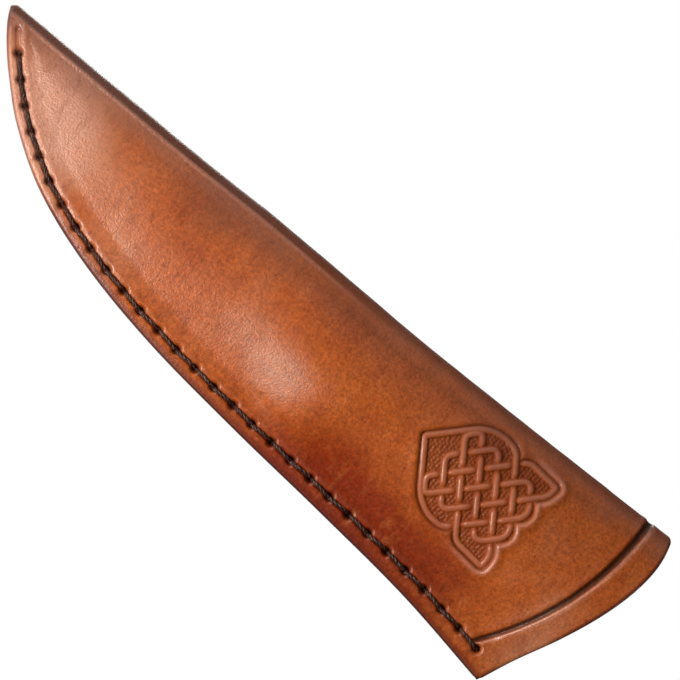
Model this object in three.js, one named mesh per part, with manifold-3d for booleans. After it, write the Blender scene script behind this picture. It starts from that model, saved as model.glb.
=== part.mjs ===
// A leather sheath for a small fixed-blade knife, hanging as it does on a belt.
//
// Millimetres, +Z up. The sheath hangs point down with its mouth up, its decorated front
// faces -Y and its back, against the wearer, faces +Y. The folded spine is at -X and the
// stitched seam at +X. The origin is the middle of the belt slot's top edge.
//
// Every piece is drawn lying on its back, in the sheath's own coordinates:
// x runs from the spine to the seam, y from the point to the mouth, and z from the back
// face to the front. One group then stands the pieces up and moves them to the origin.
import * as THREE from "three";
import { mergeVertices } from "three/addons/utils/BufferGeometryUtils.js";
import Module from "manifold-3d";

const wasm = await Module();
wasm.setup();

// Leather
const PANEL_THICKNESS = 2.6;
const WELT_THICKNESS = 2.2;
const WELT_WIDTH = 7.2;
const WELT_FOLD_GAP = 0.4; // between the welt's narrow end and the inside of the fold
const STRAP_THICKNESS = 2.4;
const GAP = 0.3; // left between pieces that touch
const FOLD_RADIUS = PANEL_THICKNESS + WELT_THICKNESS / 2 + GAP;
const SEAM_DEPTH = 2 * FOLD_RADIUS; // both flaps and the welt
const LENGTH = 171.6;

// Outline, as [distance along the sheath from its point, distance from the spine line]
const BELLY = [
  [0, 1.8], [2, 4.7], [4, 7.3], [8, 11.6], [16, 18.7], [28, 26], [44, 31.6],
  [64, 35.6], [88, 38.2], [112, 40.1], [136, 42.4], [160, 46.4],
];
const SPINE = [[0, -0.25], [45, 0.15], [70, -0.1], [105, 0.55], [145, -0.1], [172, -0.7]];
// Height of the mouth's edge, as [distance from the spine line, distance from the point]
const MOUTH = [
  [-2, 170.3], [5, 171.5], [12, 170.9], [20, 168.8], [29, 165.4], [38, 161.3], [48, 157.2],
];
const NOSE = 1.2; // how far up the blunt point is rounded
const NOSE_MIDDLE = 0.8; // the point's lowest place, from the spine line
const CORNER = 1.4; // rounding of the mouth's corner at the seam
const SPINE_CORNER = 0.6; // and of its corner at the spine
const SEAM_CORNER = 45.7; // the mouth's far corner, from the spine line

// How far the front stands out over the pocket, as [distance from the point, height]
const DOME = [
  [0, 0], [20, 0.4], [45, 1.0], [68, 1.7], [80, 2.9], [92, 4.3], [104, 5.0], [140, 5.2],
  [172, 5.3],
];
const DOME_LEAN = 0.85; // below 1 moves the crown towards the spine
const DOME_POWER = 1.1;

// Seam
const STITCH_COUNT = 29;
const SEAM_FROM = 5.6; // the seam's ends, as heights along the belly edge
const SEAM_TO = 153.2;
const AWL_MARK_AT = 2.4; // an empty hole beyond the last stitch at the point
const SEAM_MARGIN = 2.4; // from the belly edge, near the point
const SEAM_MARGIN_GROWTH = 0.0115; // per millimetre towards the mouth
const THREAD = 1.3;
const HOLE = THREAD + 2 * GAP + 0.2;
const CHANNEL_WIDTH = 2;
const CHANNEL_DEPTH = 0.9;

// Groove that runs round the mouth
const GROOVE_CENTRE = [1.4, 97.4];
const GROOVE_RADIUS = 67;
const GROOVE_WIDTH = 1.2;
const GROOVE_DEPTH = 0.8;
const GROOVE_FROM = 0.955; // at the last stitch, in radians from +x
const GROOVE_TO = 1.73; // past the spine

// Belt loop
const STRAP_CENTRE = 18;
const STRAP_WIDTH = 25;
const SLOT_TOP = 133;
const SLOT_HEIGHT = 48;
const SLOT_DEPTH = 5.5;
const STRAP_RAMP = 4; // height over which the strap leaves the back
const STRAP_END = 15; // sewn height at each end
const STRAP_MARGIN = 2.5;
const LOOP_THREAD = 1;
const LOOP_PITCH = 5;

const FAR = 60; // past every edge of the sheath
const BEYOND = 6; // how far a shape that cuts, or is still to be cut, runs past the sheath
const FOLD_SIDES = 8;
const DOME_SIDES = 12;

const LEATHER = { color: 0xa35a30, roughness: 0.5, metalness: 0 };
const EDGE = { color: 0x4a2418, roughness: 0.4, metalness: 0 };
const THREAD_FINISH = { color: 0x121214, roughness: 0.35, metalness: 0 };

// A smooth function through [at, value] points, whose slope at each point is that of the
// line between its neighbours. It runs straight on past its ends.
function curveThrough(points) {
  const last = points.length - 1;
  const slopes = points.map((_, i) => {
    const before = points[Math.max(i - 1, 0)];
    const after = points[Math.min(i + 1, last)];
    return (after[1] - before[1]) / (after[0] - before[0]);
  });
  return (at) => {
    if (at <= points[0][0]) return points[0][1] + slopes[0] * (at - points[0][0]);
    if (at >= points[last][0]) return points[last][1] + slopes[last] * (at - points[last][0]);
    const i = points.findIndex((point) => point[0] > at) - 1;
    const width = points[i + 1][0] - points[i][0];
    const t = (at - points[i][0]) / width;
    return (
      points[i][1] * (1 + 2 * t) * (1 - t) ** 2 +
      slopes[i] * width * t * (1 - t) ** 2 +
      points[i + 1][1] * (3 - 2 * t) * t ** 2 +
      slopes[i + 1] * width * (t - 1) * t ** 2
    );
  };
}

const belly = curveThrough(BELLY);
const spine = curveThrough(SPINE);
const mouth = curveThrough(MOUTH);
const domeHeight = curveThrough(DOME);

// Evenly spaced numbers from one end to the other.
function steps(from, to, count) {
  return Array.from({ length: count + 1 }, (_, i) => from + ((to - from) * i) / count);
}

// A point beside the belly edge, set in from it at right angles.
function besideBelly(y, inset) {
  const slope = (belly(y + 0.1) - belly(y - 0.1)) / 0.2;
  const along = new THREE.Vector2(slope, 1).normalize();
  return new THREE.Vector2(belly(y) - along.y * inset, y + along.x * inset);
}

function seamPoint(y) {
  return besideBelly(y, SEAM_MARGIN + SEAM_MARGIN_GROWTH * (y - SEAM_FROM));
}

// A closed three.js geometry as a solid that can be joined and cut.
function solid(geometry) {
  geometry.deleteAttribute("normal");
  geometry.deleteAttribute("uv");
  const merged = mergeVertices(geometry, 1e-4);
  return new wasm.Manifold(
    new wasm.Mesh({
      numProp: 3,
      vertProperties: merged.getAttribute("position").array,
      triVerts: new Uint32Array(merged.index.array),
    }),
  );
}

function mesh(name, made, finish) {
  const { vertProperties, triVerts } = made.getMesh();
  const geometry = new THREE.BufferGeometry();
  geometry.setAttribute("position", new THREE.BufferAttribute(vertProperties, 3));
  geometry.setIndex(new THREE.BufferAttribute(triVerts, 1));
  geometry.computeVertexNormals();
  const result = new THREE.Mesh(geometry, new THREE.MeshStandardMaterial(finish));
  result.name = name;
  return result;
}

// A flat outline given thickness, from one depth to another.
function slab(shape, from, to) {
  const geometry = new THREE.ExtrudeGeometry(shape, { depth: to - from, bevelEnabled: false });
  return solid(geometry.translate(0, 0, from));
}

// A closed skin over rings of as many points each, with a flat cap on each end ring.
function loft(rings) {
  const size = rings[0].length;
  const index = [];
  rings.slice(1).forEach((_, r) => {
    for (let i = 0; i < size; i++) {
      const a = r * size + i;
      const b = r * size + ((i + 1) % size);
      index.push(a, b, b + size, a, b + size, a + size);
    }
  });
  const flat = (ring) => ring.map((point) => new THREE.Vector2(point.x, point.z));
  const lastRing = (rings.length - 1) * size;
  for (const [a, b, c] of THREE.ShapeUtils.triangulateShape(flat(rings[0]), [])) {
    index.push(a, b, c);
  }
  for (const [a, b, c] of THREE.ShapeUtils.triangulateShape(flat(rings.at(-1)), [])) {
    index.push(lastRing + a, lastRing + c, lastRing + b);
  }
  const geometry = new THREE.BufferGeometry().setFromPoints(rings.flat());
  return solid(geometry.setIndex(index));
}

// The front's height over the pocket: nothing at the fold and over the welt, most between.
function dome(x, y) {
  const fold = spine(y) + FOLD_RADIUS;
  const share = (x - fold) / (belly(y) - WELT_WIDTH - fold);
  if (!(share > 0 && share < 1)) return 0;
  return Math.max(domeHeight(y), 0) * Math.sin(Math.PI * share ** DOME_LEAN) ** DOME_POWER;
}

// The folded sheet's cross-section at a height, moved in from its outside by a distance:
// along the back from the open side, round the fold and back over the domed front.
function sectionRing(y, inset) {
  const fold = spine(y) + FOLD_RADIUS;
  const radius = FOLD_RADIUS - inset;
  const weltEdge = Math.max(belly(y) - WELT_WIDTH, fold + 1);
  const ring = [new THREE.Vector3(FAR, y, inset)];
  for (const angle of steps(-Math.PI / 2, -1.5 * Math.PI, FOLD_SIDES)) {
    const across = fold + radius * Math.cos(angle);
    ring.push(new THREE.Vector3(across, y, FOLD_RADIUS + radius * Math.sin(angle)));
  }
  for (const across of steps(fold, weltEdge, DOME_SIDES).slice(1)) {
    ring.push(new THREE.Vector3(across, y, SEAM_DEPTH - inset + dome(across, y)));
  }
  ring.push(new THREE.Vector3(FAR, y, SEAM_DEPTH - inset));
  return ring;
}

function foldedSlab(inset, beyond) {
  const heights = [-beyond, ...steps(0, 40, 6), ...steps(50, 170, 12), LENGTH + beyond];
  return loft(heights.map((y) => sectionRing(y, inset)));
}

// The flat outline of the sheath from its folded side to its belly edge.
function outline() {
  const shape = new THREE.Shape();
  shape.moveTo(-FAR, NOSE);
  shape.lineTo(spine(NOSE), NOSE);
  shape.quadraticCurveTo(spine(0), 0, NOSE_MIDDLE, 0);
  shape.quadraticCurveTo(belly(0), 0, belly(NOSE), NOSE);
  for (const y of [2, 3, 4, 6, 8, 11, 14, 18, 23, ...steps(28, 156, 16)]) {
    shape.lineTo(belly(y), y);
  }
  const seamEnd = SEAM_CORNER - CORNER;
  const top = mouth(SEAM_CORNER);
  shape.lineTo(belly(top - CORNER), top - CORNER);
  shape.quadraticCurveTo(SEAM_CORNER, top, seamEnd, mouth(seamEnd));
  for (const x of steps(seamEnd, SPINE_CORNER, 16).slice(1)) {
    shape.lineTo(x, mouth(x));
  }
  const spineEnd = mouth(0) - SPINE_CORNER;
  shape.quadraticCurveTo(spine(mouth(0)), mouth(0), spine(spineEnd), spineEnd);
  shape.lineTo(-FAR, spineEnd);
  return shape;
}

// A strip along a line of points, as wide as given.
function ribbon(line, width) {
  const side = (sign) =>
    line.map((point, i) => {
      const before = line[Math.max(i - 1, 0)];
      const after = line[Math.min(i + 1, line.length - 1)];
      const along = after.clone().sub(before).normalize();
      const across = new THREE.Vector2(-along.y, along.x);
      return point.clone().addScaledVector(across, (sign * width) / 2);
    });
  return new THREE.Shape([...side(-1), ...side(1).reverse()]);
}

// A round bar or hole through the leather, from one depth to another.
function pin(point, diameter, from, to, sides) {
  const cylinder = new THREE.CylinderGeometry(diameter / 2, diameter / 2, to - from, sides);
  cylinder.rotateX(Math.PI / 2).translate(point.x, point.y, (from + to) / 2);
  return solid(cylinder);
}

function joined(solids) {
  return solids.reduce((sum, each) => sum.add(each));
}

// Stitch holes at even distances along the seam line.
function stitchHoles() {
  const line = new THREE.SplineCurve(steps(SEAM_FROM, SEAM_TO, 60).map(seamPoint));
  return line.getSpacedPoints(STITCH_COUNT);
}

// Thread on both faces of the leather, joined through each hole.
function ladder(line, holes, diameter, backFace, frontFace) {
  const runs = [
    slab(line, backFace, backFace + diameter),
    slab(line, frontFace - diameter, frontFace),
  ];
  const posts = holes.map((hole) => pin(hole, diameter, backFace, frontFace, 6));
  return joined([...runs, ...posts]);
}

const holes = stitchHoles();
const seamHoles = joined(holes.map((hole) => pin(hole, HOLE, -BEYOND, SEAM_DEPTH + BEYOND, 8)));

// The rectangle of stitches on one end of the strap, whose lowest row is at the given height.
function loopStitching(bottom) {
  const width = STRAP_WIDTH - 2 * STRAP_MARGIN;
  const height = STRAP_END - 2 * STRAP_MARGIN;
  const left = STRAP_CENTRE - width / 2;
  const rectangle = (grow) => [
    new THREE.Vector2(left - grow, bottom - grow),
    new THREE.Vector2(left + width + grow, bottom - grow),
    new THREE.Vector2(left + width + grow, bottom + height + grow),
    new THREE.Vector2(left - grow, bottom + height + grow),
  ];
  const line = new THREE.Shape(rectangle(LOOP_THREAD / 2));
  line.holes.push(new THREE.Path(rectangle(-LOOP_THREAD / 2)));
  const holesAt = [];
  for (let x = 0; x <= width; x += LOOP_PITCH) {
    for (let y = 0; y <= height; y += LOOP_PITCH) {
      const onEdge = x === 0 || x === width || y === 0 || y === height;
      if (onEdge) holesAt.push(new THREE.Vector2(left + x, bottom + y));
    }
  }
  return { line, holesAt };
}

const slotBottom = SLOT_TOP - SLOT_HEIGHT;
const lowerStitching = loopStitching(slotBottom - STRAP_END + STRAP_MARGIN);
const upperStitching = loopStitching(SLOT_TOP + STRAP_MARGIN);
const loopHoleWidth = LOOP_THREAD + 2 * GAP + 0.1;
const loopHoles = joined(
  [...lowerStitching.holesAt, ...upperStitching.holesAt].map((hole) =>
    pin(hole, loopHoleWidth, -STRAP_THICKNESS - 4 * GAP, PANEL_THICKNESS + GAP, 8),
  ),
);

function makeBody() {
  const channelLine = [AWL_MARK_AT, ...steps(SEAM_FROM, SEAM_TO, 40)].map(seamPoint);
  const channel = slab(ribbon(channelLine, CHANNEL_WIDTH), -BEYOND, SEAM_DEPTH + BEYOND);
  const band = new THREE.Shape();
  band.absarc(...GROOVE_CENTRE, GROOVE_RADIUS + GROOVE_WIDTH / 2, GROOVE_FROM, GROOVE_TO, false);
  band.absarc(...GROOVE_CENTRE, GROOVE_RADIUS - GROOVE_WIDTH / 2, GROOVE_TO, GROOVE_FROM, true);
  const groove = slab(band, -BEYOND, FAR);
  return foldedSlab(0, BEYOND)
    .intersect(slab(outline(), -BEYOND, FAR))
    .subtract(foldedSlab(PANEL_THICKNESS, 2 * BEYOND))
    .subtract(channel.subtract(foldedSlab(CHANNEL_DEPTH, 2 * BEYOND)))
    .subtract(groove.subtract(foldedSlab(GROOVE_DEPTH, 2 * BEYOND)))
    .subtract(seamHoles)
    .subtract(loopHoles);
}

function makeWelt() {
  const clearOfFold = FOLD_RADIUS - WELT_FOLD_GAP;
  const inner = steps(0, LENGTH, 40).map((y) => {
    const point = besideBelly(y, WELT_WIDTH);
    return new THREE.Vector2(Math.max(point.x, clearOfFold), point.y);
  });
  const strip = new THREE.Shape([
    new THREE.Vector2(clearOfFold, -BEYOND),
    new THREE.Vector2(FAR, -BEYOND),
    new THREE.Vector2(FAR, LENGTH + BEYOND),
    ...inner.reverse(),
  ]);
  const from = PANEL_THICKNESS + GAP;
  return slab(strip, from, from + WELT_THICKNESS)
    .intersect(slab(outline(), 0, SEAM_DEPTH))
    .subtract(seamHoles);
}

function makeSeamThread() {
  const sunk = CHANNEL_DEPTH - GAP;
  const line = ribbon(holes, THREAD);
  return ladder(line, holes, THREAD, sunk - THREAD, SEAM_DEPTH - sunk + THREAD);
}

// The strap's side view, from the lower sewn end over the slot to the upper one.
function makeBeltLoop() {
  const bottom = slotBottom - STRAP_END;
  const top = SLOT_TOP + STRAP_END;
  const face = (lift) => [
    [bottom, -GAP - lift],
    [slotBottom, -GAP - lift],
    [slotBottom + STRAP_RAMP, -SLOT_DEPTH - lift],
    [SLOT_TOP - STRAP_RAMP, -SLOT_DEPTH - lift],
    [SLOT_TOP, -GAP - lift],
    [top, -GAP - lift],
  ];
  const profile = [...face(0), ...face(STRAP_THICKNESS).reverse()];
  const shape = new THREE.Shape(profile.map(([y, z]) => new THREE.Vector2(y, z)));
  const geometry = new THREE.ExtrudeGeometry(shape, { depth: STRAP_WIDTH, bevelEnabled: false });
  // The profile's own x and y become the sheath's y and z, and its depth becomes x.
  geometry.applyMatrix4(
    new THREE.Matrix4().makeBasis(
      new THREE.Vector3(0, 1, 0),
      new THREE.Vector3(0, 0, 1),
      new THREE.Vector3(1, 0, 0),
    ),
  );
  geometry.translate(STRAP_CENTRE - STRAP_WIDTH / 2, 0, 0);
  return solid(geometry).subtract(loopHoles);
}

function makeLoopThread({ line, holesAt }) {
  const outside = -GAP - STRAP_THICKNESS - GAP - LOOP_THREAD;
  const inside = PANEL_THICKNESS + GAP + LOOP_THREAD;
  return ladder(line, holesAt, LOOP_THREAD, outside, inside);
}

const sheath = new THREE.Group();
sheath.add(
  mesh("sheath_body", makeBody(), LEATHER),
  mesh("welt", makeWelt(), EDGE),
  mesh("seam_thread", makeSeamThread(), THREAD_FINISH),
  mesh("belt_loop", makeBeltLoop(), LEATHER),
  mesh("loop_thread_lower", makeLoopThread(lowerStitching), THREAD_FINISH),
  mesh("loop_thread_upper", makeLoopThread(upperStitching), THREAD_FINISH),
);
// Stand the sheath up, with the middle of the belt slot's top edge at the origin.
sheath.rotation.x = Math.PI / 2;
sheath.position.set(-STRAP_CENTRE, -SLOT_DEPTH / 2, -SLOT_TOP);

const part = new THREE.Group();
part.add(sheath);
export default part;
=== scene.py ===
"""Looks of a leather knife sheath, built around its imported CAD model.

The sheath's own coordinates are (u, s, d) in millimetres: u from the folded spine to the stitched
seam, s from the point to the mouth, d from the back face to the front. to_row() turns them into the
row frame, in metres.
"""
import math
import random

import bmesh
import bpy
import numpy as np
from mathutils import Matrix, Vector, noise


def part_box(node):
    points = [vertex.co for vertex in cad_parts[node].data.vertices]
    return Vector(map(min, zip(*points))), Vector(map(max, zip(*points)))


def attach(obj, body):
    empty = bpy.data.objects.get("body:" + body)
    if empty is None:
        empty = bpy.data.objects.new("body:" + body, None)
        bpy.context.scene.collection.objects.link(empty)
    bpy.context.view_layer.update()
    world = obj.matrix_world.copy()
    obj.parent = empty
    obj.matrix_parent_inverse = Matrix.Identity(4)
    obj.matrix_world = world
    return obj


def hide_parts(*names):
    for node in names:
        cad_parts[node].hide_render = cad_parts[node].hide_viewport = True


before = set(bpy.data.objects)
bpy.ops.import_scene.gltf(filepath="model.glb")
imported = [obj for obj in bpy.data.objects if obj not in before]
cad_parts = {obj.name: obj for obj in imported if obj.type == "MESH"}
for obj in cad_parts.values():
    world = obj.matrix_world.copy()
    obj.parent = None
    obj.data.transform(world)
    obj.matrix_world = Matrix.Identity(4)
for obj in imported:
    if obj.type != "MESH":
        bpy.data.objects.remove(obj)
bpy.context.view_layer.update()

MM = 0.001

# The CAD model's own driving sizes, in millimetres. Only DOME differs from it: before the handle the
# front swells up to 0.3 mm less.
PANEL = 2.6
WELT_THICKNESS = 2.2
WELT_WIDTH = 7.2
STRAP_THICKNESS = 2.4
GAP = 0.3
RADIUS = PANEL + WELT_THICKNESS / 2 + GAP  # of the fold
BELLY = [
    [0, 1.8], [2, 4.7], [4, 7.3], [8, 11.6], [16, 18.7], [28, 26], [44, 31.6],
    [64, 35.6], [88, 38.2], [112, 40.1], [136, 42.4], [160, 46.4],
]
SPINE = [[0, -0.25], [45, 0.15], [70, -0.1], [105, 0.55], [145, -0.1], [172, -0.7]]
MOUTH = [
    [-2, 170.3], [5, 171.5], [12, 170.9], [20, 168.8], [29, 165.4], [38, 161.3], [48, 157.2],
]
NOSE = 1.2
NOSE_MIDDLE = 0.8
CORNER = 1.4
SPINE_CORNER = 0.6
DOME = [
    [0, 0], [20, 0.4], [45, 1.0], [68, 1.7], [80, 2.6], [92, 4.2], [104, 5.0], [140, 5.2],
    [172, 5.3],
]
DOME_LEAN = 0.85
DOME_POWER = 1.1
STITCH_COUNT = 29
SEAM_FROM = 5.6
SEAM_TO = 153.2
AWL_MARK_AT = 2.4
SEAM_MARGIN = 2.4
SEAM_MARGIN_GROWTH = 0.0115
GROOVE_CENTRE = (1.4, 97.4)
GROOVE_RADIUS = 67
STRAP_CENTRE = 18
STRAP_WIDTH = 25
SLOT_TOP = 133
SLOT_HEIGHT = 48
SLOT_DEPTH = 5.5
STRAP_END = 15
STRAP_MARGIN = 2.5
LOOP_PITCH = 5

# Looks only, in millimetres
EDGE_ROLL = 0.9  # rounding of the burnished edges
MOUTH_ROLL = 0.7
INNER_ROLL = 0.4
MOUTH_SLANT = 0.93  # distance across the slanting mouth's edge for each millimetre upwards
POINT_DEEPEST = 0.4  # relief goes no deeper than this share of the point's width, so it stays solid
DOME_FOOT = (-0.8, 2.2)  # over which the swell starts softly beside the welt
HANDLE_END = (29.5, 97)  # where the knife's handle has pressed the leather out
HANDLE_END_SIZE = 8
HANDLE_END_HIGH = 1.1
FOLD_SQUARENESS = 2.5  # 2 would be the CAD model's round fold
THREAD_RADIUS = 0.44
LOOP_THREAD_RADIUS = 0.45

# Where the sheath's own coordinates start in the row frame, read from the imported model
body_low, body_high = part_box("sheath_body")
strap_low, strap_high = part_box("belt_loop")
ORIGIN_X = (strap_low.x + strap_high.x) / 2 - STRAP_CENTRE * MM
ORIGIN_Y = body_high.y
ORIGIN_Z = body_low.z


def to_row(u, s, d):
    """Points in the sheath's own millimetres as an array of points in the row frame, in metres."""
    u, s, d = np.broadcast_arrays(u, s, d)
    x = ORIGIN_X + u * MM
    y = ORIGIN_Y - d * MM
    z = ORIGIN_Z + s * MM
    return np.stack([x, y, z], axis=-1).reshape(-1, 3)


# ---- outline and surface

def curve_through(points):
    """A smooth function through [at, value] points, as in the CAD model."""
    at, value = np.array(points, float).T
    slope = np.gradient(value, at)
    slope[1:-1] = (value[2:] - value[:-2]) / (at[2:] - at[:-2])

    def curve(x):
        x = np.asarray(x, float)
        i = np.clip(np.searchsorted(at, x, side="right") - 1, 0, len(at) - 2)
        width = at[i + 1] - at[i]
        t = np.clip((x - at[i]) / width, 0, 1)
        inside = (
            value[i] * (1 + 2 * t) * (1 - t) ** 2
            + slope[i] * width * t * (1 - t) ** 2
            + value[i + 1] * (3 - 2 * t) * t**2
            + slope[i + 1] * width * (t - 1) * t**2
        )
        below = np.minimum(x - at[0], 0) * slope[0]
        above = np.maximum(x - at[-1], 0) * slope[-1]
        return inside + below + above

    return curve


belly = curve_through(BELLY)
spine = curve_through(SPINE)
mouth = curve_through(MOUTH)
dome_height = curve_through(DOME)


def smooth(x, low, high):
    """0 below low, 1 above high, and a smooth step between."""
    t = np.clip((np.asarray(x, float) - low) / (high - low), 0, 1)
    return t * t * (3 - 2 * t)


def bump(x, width, power=2):
    """1 at 0, falling to nothing past width; a higher power has a flatter top."""
    return np.exp(-np.abs(np.asarray(x, float) / width) ** power)


def nose_share(s):
    """How far the point's rounding has opened at height s: 0 at the very tip, 1 above it."""
    return np.sqrt(1 - (1 - np.clip(s / NOSE, 0, 1)) ** 2)


def spine_edge(s):
    return NOSE_MIDDLE + (spine(s) - NOSE_MIDDLE) * nose_share(s)


def belly_edge(s):
    return NOSE_MIDDLE + (belly(s) - NOSE_MIDDLE) * nose_share(s)


def dome(u, s):
    """The front's height over the pocket."""
    fold = spine(s) + RADIUS
    share = np.clip((u - fold) / np.maximum(belly(s) - WELT_WIDTH - fold, 1), 0, 1)
    pocket = np.maximum(dome_height(s), 0) * np.sin(np.pi * share**DOME_LEAN) ** DOME_POWER
    pocket *= smooth(belly(s) - WELT_WIDTH - u, *DOME_FOOT)
    handle_end = HANDLE_END_HIGH * bump(np.hypot(u - HANDLE_END[0], s - HANDLE_END[1]), HANDLE_END_SIZE)
    return pocket + handle_end * smooth(belly(s) - 3.5 - u, 0, 6)


def section(c, s, rise):
    """Where the folded sheet is: u, d and the distance along it from the belly edge. c is the share
    of the way from the spine to that edge, positive on the front and negative on the back, and
    rise is the height over the sheet's outside."""
    fold = spine_edge(s) + RADIUS
    edge = belly_edge(s)
    quarter = RADIUS * np.pi / 2
    short = RADIUS * np.arccos(np.clip((fold - edge) / RADIUS, -1, 1))
    length = np.where(edge > fold, quarter + edge - fold, short)
    along = np.abs(c) * length
    angle = np.minimum(along / RADIUS, np.pi / 2)
    past = np.maximum(along - quarter, 0)
    power = 2 / FOLD_SQUARENESS
    u = fold + past - (RADIUS + rise) * np.abs(np.cos(angle)) ** power
    side = np.where(c < 0, -1.0, 1.0)
    lift = np.where(c < 0, 0, dome(u, s) * (past > 0))
    d = RADIUS + side * (RADIUS + rise) * np.sin(angle) ** power + lift
    return np.minimum(u, edge), d, np.maximum(length - along, 0)


def mouth_height(c):
    """Height of the mouth's edge for each share c, with its two corners rounded."""
    s = np.full_like(np.asarray(c, float), 165.0)
    for _ in range(30):
        u, _, from_edge = section(c, s, np.zeros_like(s))
        s = mouth(u)
    seam_corner = np.clip(1 - from_edge / CORNER, 0, 1)
    spine_corner = np.clip(1 - (u - spine(s)) / SPINE_CORNER, 0, 1)
    at_seam = CORNER * (1 - np.sqrt(1 - seam_corner**2))
    at_spine = SPINE_CORNER * spine_corner**2 / 2
    return s - at_seam - at_spine


def beside_belly(s, inset):
    """Points beside the belly edge, set in from it at right angles."""
    s = np.asarray(s, float)
    slope = (belly(s + 0.1) - belly(s - 0.1)) / 0.2
    size = np.hypot(slope, 1)
    return np.stack([belly(s) - inset / size, s + inset * slope / size], axis=-1)


def seam_points(s):
    s = np.asarray(s, float)
    return beside_belly(s, SEAM_MARGIN + SEAM_MARGIN_GROWTH * (s - SEAM_FROM))


def spaced(line, count):
    """count + 1 points at even distances along a line of points."""
    steps = np.hypot(*np.diff(line, axis=0).T)
    at = np.concatenate([[0], np.cumsum(steps)])
    wanted = np.linspace(0, at[-1], count + 1)
    return np.stack([np.interp(wanted, at, line[:, k]) for k in range(line.shape[1])], axis=-1)


seam_line = seam_points(np.linspace(SEAM_FROM, SEAM_TO, 400))
seam_holes = spaced(seam_line, STITCH_COUNT)
channel_line = seam_points(np.concatenate([[AWL_MARK_AT, 4], np.linspace(SEAM_FROM, SEAM_TO, 120)]))


def distance_to_line(points, line, chunk=4000):
    """Distance from each point to a line of points, and how far along the line the nearest place is."""
    a, b = line[:-1], line[1:]
    ab = b - a
    size = np.maximum((ab**2).sum(1), 1e-12)
    starts = np.concatenate([[0], np.cumsum(np.sqrt(size))])[:-1]
    best, place = np.empty((2, len(points)))
    for i in range(0, len(points), chunk):
        p = points[i : i + chunk, None, :]
        t = np.clip(((p - a) * ab).sum(2) / size, 0, 1)
        gap = np.sqrt((((a + t[..., None] * ab) - p) ** 2).sum(2))
        k = gap.argmin(1)
        rows = np.arange(len(k))
        best[i : i + chunk] = gap[rows, k]
        place[i : i + chunk] = starts[k] + t[rows, k] * np.sqrt(size[k])
    return best, place


# ---- stamped plait

# The plait is woven on a lattice of crossings. Its one endless strand runs straight between
# corners, given as (steps across, steps up, rounding) from the middle crossing. This is half
# of it, from the lowest turn to the foot; the rest is its mirror image.
PLAIT_AT = (16.4, 138.0)
PLAIT_TURN = math.radians(-5)
PLAIT_STEP = np.array([2.83, 2.28])
PLAIT_HALF = [
    (0, -6, 1.5), (-3, -3, 1.9), (2.95, 2.95, 2.0), (3.85, 3.03, 0.5), (3.85, -0.15, 1.6),
    (-2, -6, 1.3), (-3, -5, 1.3), (3, 1, 2.3), (1, 3, 2.6), (-3.8, -1.8, 1.4), (-3.9, -3.5, 2.4),
    (-3.25, -5.25, 2.4),
]
PLAIT_FOOT = (0, -8.5, 0.3)
# Half of the plait's outline, from the foot up the right side to the dip in the middle of its top
PLAIT_OUTLINE = [
    (3.25, -5.25, 2.4), (3.9, -3.5, 2.4), (3.8, -1.8, 1.4), (3, -1, 0.2), (3.85, -0.15, 1.6),
    (3.85, 3.03, 0.5), (2.95, 2.95, 2.0), (2, 2, 0.2), (1, 3, 2.6),
]
PLAIT_DIP = (0, 2, 0.2)
STRAND = 0.76  # half its width
STRAND_CREST = -0.16
STRAND_UNDER = 0.5  # how far it dips under another
STRAND_CROWN = 0.54
PLAIT_GROUND = -0.8
PEBBLE = 0.78  # spacing of the bumps that the ground is matted in
PLAIT_REACH = 4.0  # how far round the plait the leather is worked


def rounded(corners):
    """A closed line through corners, each rounded off by its third number."""
    at = np.array([corner[:2] for corner in corners], float) * PLAIT_STEP
    points = []
    for i, here in enumerate(at):
        back = at[i - 1] - here
        on = at[(i + 1) % len(at)] - here
        cut = min(corners[i][2], np.hypot(*back) * 0.48, np.hypot(*on) * 0.48)
        start = here + back / np.hypot(*back) * cut
        end = here + on / np.hypot(*on) * cut
        for t in np.linspace(0, 1, 7):
            points.append((1 - t) ** 2 * start + 2 * t * (1 - t) * here + t**2 * end)
    return np.array(points + points[:1])


def mirrored(corners):
    return [(-i, j, cut) for i, j, cut in reversed(corners)]


def plait_lines():
    """The strand's line and the plait's outline, about the middle crossing."""
    half = PLAIT_HALF[1:]
    strand = half + [PLAIT_FOOT] + mirrored(half) + PLAIT_HALF[:1]
    outline = [PLAIT_FOOT] + PLAIT_OUTLINE + [PLAIT_DIP] + mirrored(PLAIT_OUTLINE)
    return rounded(strand), rounded(outline)


def resampled(line, step):
    count = int(np.hypot(*np.diff(line, axis=0).T).sum() / step)
    return spaced(line, count)


def strand_levels(line):
    """How deep the strand lies at each point of its line: it goes over and under by turns."""
    turns = {(abs(i), j) for i, j, _ in PLAIT_HALF}
    along = np.gradient(line, axis=0)
    leans_left = along[:, 0] * along[:, 1] < 0
    level = np.zeros(len(line))
    for k, point in enumerate(line):
        i, j = (int(n) for n in np.round(point / PLAIT_STEP))
        crossing = (i + j) % 2 == 0 and abs(i) <= 3 and -5 <= j <= 2 and (abs(i), j) not in turns
        if crossing and leans_left[k] != (i % 2 == 0):
            away = np.hypot(*(point - np.array([i, j]) * PLAIT_STEP))
            level[k] = -STRAND_UNDER * bump(away, 1.25, 3)
    return level


def inside_line(points, line):
    """Whether each point is inside a closed line."""
    inside = np.zeros(len(points), bool)
    x, y = points.T
    for (ax, ay), (bx, by) in zip(line[:-1], line[1:]):
        if ay != by:
            crosses = (ay > y) != (by > y)
            inside ^= crosses & (x < (bx - ax) * (y - ay) / (by - ay) + ax)
    return inside


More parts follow.
